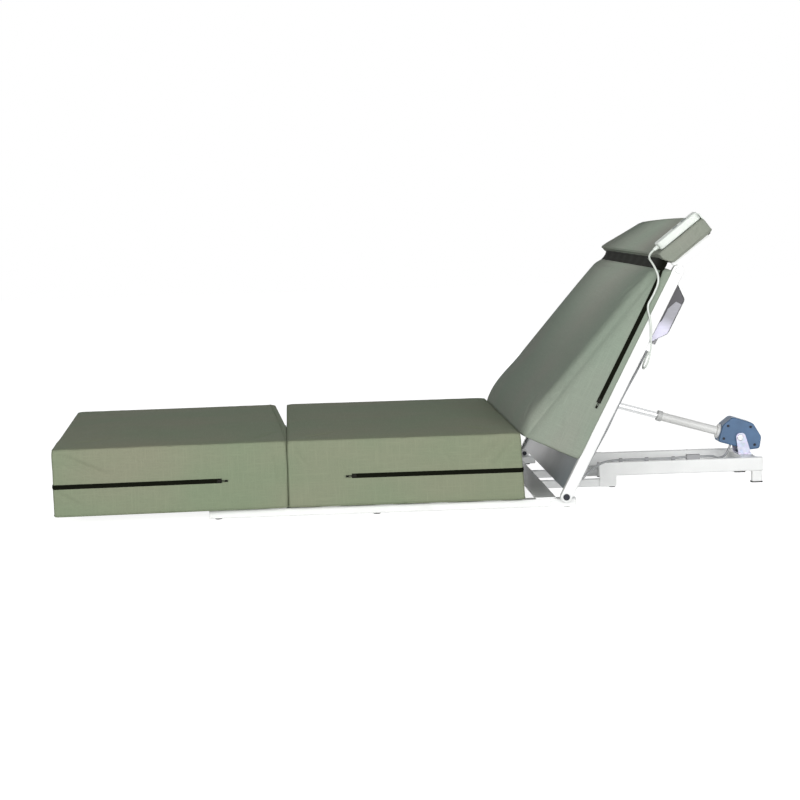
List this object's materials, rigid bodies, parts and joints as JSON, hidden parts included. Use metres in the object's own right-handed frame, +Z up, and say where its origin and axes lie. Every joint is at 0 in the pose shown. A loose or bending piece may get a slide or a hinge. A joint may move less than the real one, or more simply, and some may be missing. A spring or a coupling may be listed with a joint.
{
  "type": "motorized recliner bed",
  "caption": "Low bed with split foam cushions on a white tube base; a linear actuator raises the hinged back frame, with a tilting head rest and a corded handset.",
  "frame": {"origin": "on the floor, on the bed's middle line, under the seam between the leg and seat cushions, at the middle glide's foot", "axes": "+X from the foot end to the head end, +Y to the far side, +Z up"},
  "size_m": [1.8591, 0.9307, 0.7106],
  "materials": {
    "frame_white": "satin powder coat",
    "bracket_zinc": "zinc plated",
    "bolt_dark": "blackened",
    "pin_steel": "bright",
    "washer_nylon": "natural",
    "cap_plastic": "moulded",
    "glide_rubber": "moulded",
    "cushion_fabric": "woven",
    "zip_black": "coil zip on woven tape",
    "pull_metal": "dark plated",
    "board_ply": "black stained",
    "box_dark": "moulded",
    "plug_grey": "moulded",
    "housing_blue": "moulded",
    "tube_white": "satin",
    "gland_plastic": "moulded",
    "rod_chrome": "polished",
    "handset_white": "moulded",
    "button_grey": "moulded",
    "cord_white": "extruded",
    "lead_grey": "extruded"
  },
  "bodies": {
    "base": {"base_side_tubes": "frame_white", "base_cross_tubes": "frame_white", "tube_end_caps": "cap_plastic", "base_slats": "frame_white", "base_glides": "glide_rubber", "drop_tubes": "frame_white", "rear_beams": "frame_white", "rear_bar": "frame_white", "rear_feet": "frame_white", "rear_foot_pads": "glide_rubber", "hinge_ears": "frame_white", "hinge_bolts": "bolt_dark", "hinge_washers": "washer_nylon", "rear_bracket": "bracket_zinc", "rear_pin": "pin_steel", "cable_connector": "plug_grey", "cable_clips": "plug_grey", "motor_lead": "lead_grey", "control_lead": "lead_grey"},
    "mattress": {"leg_cushion": "cushion_fabric", "seat_cushion": "cushion_fabric", "leg_zip": "zip_black", "seat_zip": "zip_black"},
    "leg_pull": {"leg_zip_pull": "pull_metal"},
    "seat_pull": {"seat_zip_pull": "pull_metal"},
    "back_pull": {"back_zip_pull": "pull_metal"},
    "back": {"back_side_rails": "frame_white", "back_crossbars": "frame_white", "back_panel": "board_ply", "back_cushion": "cushion_fabric", "back_zip": "zip_black", "front_ears": "frame_white", "front_ear_bolts": "bolt_dark", "control_box": "box_dark", "control_cradle": "frame_white", "cradle_screws": "bolt_dark", "control_plugs": "plug_grey", "mains_gland": "plug_grey", "head_pivot_bolts": "frame_white", "head_pivot_washers": "washer_nylon", "handset_cord_lower": "cord_white"},
    "head": {"head_arms": "frame_white", "head_crossbar": "frame_white", "head_board": "board_ply", "head_cushion": "cushion_fabric", "handset_cord_upper": "cord_white"},
    "handset": {"handset_base_shell": "handset_white", "handset_top_shell": "handset_white", "handset_hook": "handset_white"},
    "up_button": {"button_up": "button_grey"},
    "down_button": {"button_down": "button_grey"},
    "actuator": {"motor_housing_near": "housing_blue", "motor_housing_far": "housing_blue", "housing_screws": "bolt_dark", "tube_flange": "tube_white", "guide_tube": "tube_white", "tube_gland": "gland_plastic"},
    "rod": {"piston_rod": "rod_chrome", "lock_nut": "pin_steel", "rod_eye": "rod_chrome"}
  },
  "joints": [
    {"name": "back_hinge", "type": "hinge", "parent": "base", "child": "back", "pos_m": [0.675, 0, 0.0295], "axis": [0, 1, 0], "range_deg": [0, 48.5], "deforming": ["control_lead"]},
    {"name": "head_tilt", "type": "hinge", "parent": "back", "child": "head", "pos_m": [0.95713, 0, 0.57146], "axis": [0, 1, 0], "range_deg": [-22, 20], "deforming": ["handset_cord_lower"]},
    {"name": "handset_lift", "type": "slide", "parent": "head", "child": "handset", "axis": [-0.6136, 0, 0.7896], "range_m": [0, 0.04], "deforming": ["handset_cord_upper"]},
    {"name": "button_up_press", "type": "slide", "parent": "handset", "child": "up_button", "axis": [-0.6136, 0, 0.7896], "range_m": [-0.0012, 0], "stiffness_N_per_m": 800},
    {"name": "button_down_press", "type": "slide", "parent": "handset", "child": "down_button", "axis": [-0.6136, 0, 0.7896], "range_m": [-0.0012, 0], "stiffness_N_per_m": 800},
    {"name": "mattress_shift", "type": "slide", "parent": "base", "child": "mattress", "axis": [1, 0, 0], "range_m": [0, 0.0845]},
    {"name": "leg_zip_slide", "type": "slide", "parent": "mattress", "child": "leg_pull", "axis": [-0.9987, -0.0506, 0], "range_m": [0, 0.355]},
    {"name": "seat_zip_slide", "type": "slide", "parent": "mattress", "child": "seat_pull", "axis": [1, 0, 0], "range_m": [0, 0.365]},
    {"name": "back_zip_slide", "type": "slide", "parent": "back", "child": "back_pull", "axis": [0.4617, 0, 0.887], "range_m": [0, 0.225]},
    {"name": "actuator_pivot", "type": "hinge", "parent": "base", "child": "actuator", "pos_m": [1.196, 0, 0.11], "axis": [0, 1, 0], "range_deg": [-27.24, 0.1], "deforming": ["motor_lead"]},
    {"name": "rod_slide", "type": "slide", "parent": "actuator", "child": "rod", "axis": [-0.9599, 0, 0.2803], "range_m": [-0.10959, 0.0004]}
  ],
  "couplings": [
    {"joint": "mattress_shift", "follows": "back_hinge", "m_per_rad": 0.099234},
    {"joint": "actuator_pivot", "follows": "back_hinge", "ratio": -0.55964},
    {"joint": "rod_slide", "follows": "back_hinge", "m_per_rad": -0.12899}
  ]
}
